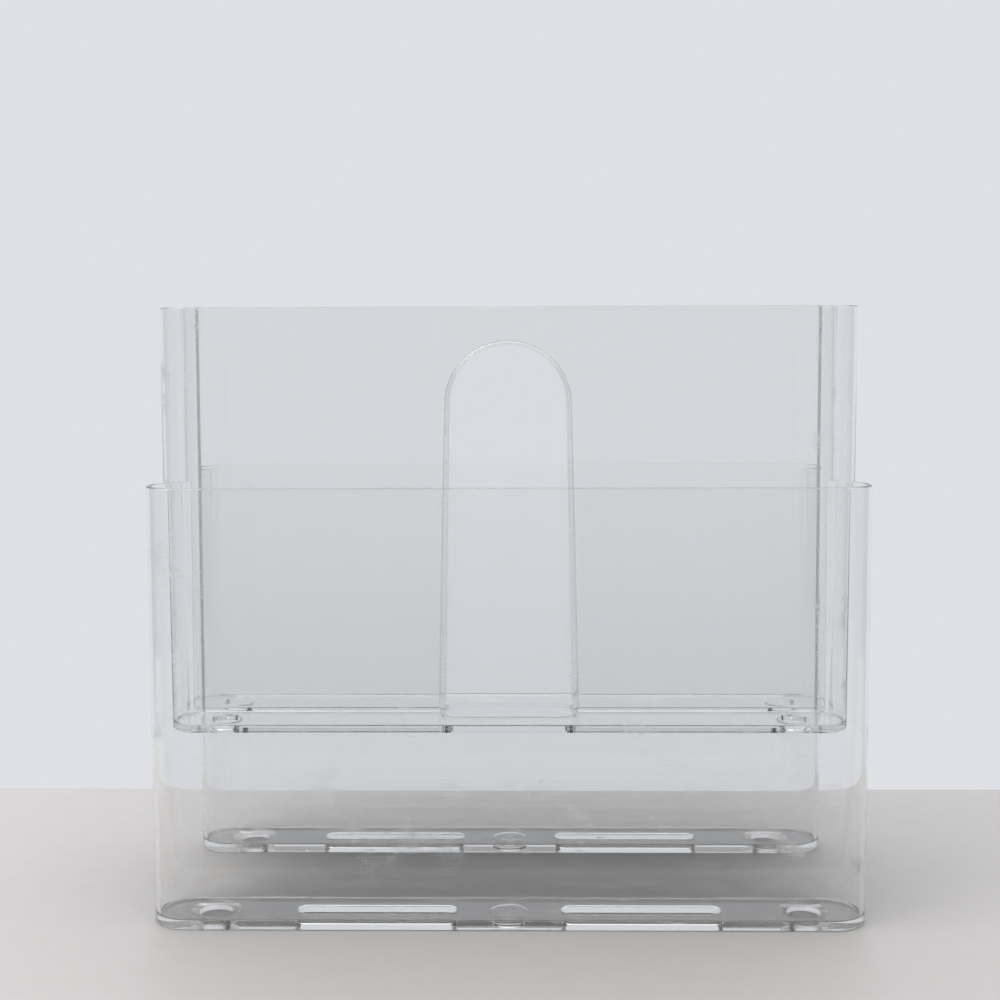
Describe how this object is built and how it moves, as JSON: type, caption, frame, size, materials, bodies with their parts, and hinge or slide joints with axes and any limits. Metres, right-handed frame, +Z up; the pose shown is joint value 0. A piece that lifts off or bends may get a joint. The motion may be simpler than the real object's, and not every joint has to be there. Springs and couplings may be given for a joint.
{
  "type": "magazine rack",
  "caption": "Clear free-standing magazine rack with low outer pockets, raised inner pockets and an arched hand-hold through its centre walls.",
  "frame": {"origin": "centre of the base, on the surface that the rack stands on", "axes": "+X along the length of the pockets, +Y from the front moulding to the rear moulding, +Z up"},
  "size_m": [0.434, 0.1788, 0.3625],
  "materials": {
    "clear_acrylic": "clear polished acrylic with fine surface scratches",
    "cured_cement": "clear cured solvent cement, slightly cloudy"
  },
  "bodies": {
    "root": {"front_moulding": "clear_acrylic", "rear_moulding": "clear_acrylic", "left_cement_bead": "cured_cement", "right_cement_bead": "cured_cement"}
  },
  "joints": []
}
